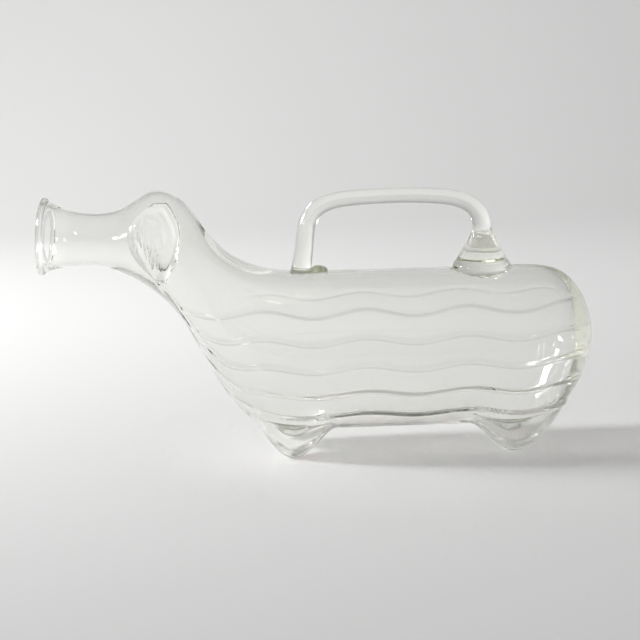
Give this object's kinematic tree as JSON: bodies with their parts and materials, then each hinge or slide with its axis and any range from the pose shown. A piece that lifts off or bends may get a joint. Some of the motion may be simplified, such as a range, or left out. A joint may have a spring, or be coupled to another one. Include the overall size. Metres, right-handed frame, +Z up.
{
  "type": "glass carafe",
  "caption": "Clear glass carafe in the shape of a standing animal, with an open snout to pour from and a rod handle on its back.",
  "frame": {"origin": "under the middle of the carafe, on the surface that its feet stand on", "axes": "+X from the snout to the rear, +Y to the animal's right, +Z up"},
  "size_m": [0.2982, 0.083, 0.1456],
  "materials": {
    "glass": "clear, fire-polished"
  },
  "bodies": {
    "root": {"glass_carafe": "glass"}
  },
  "joints": []
}
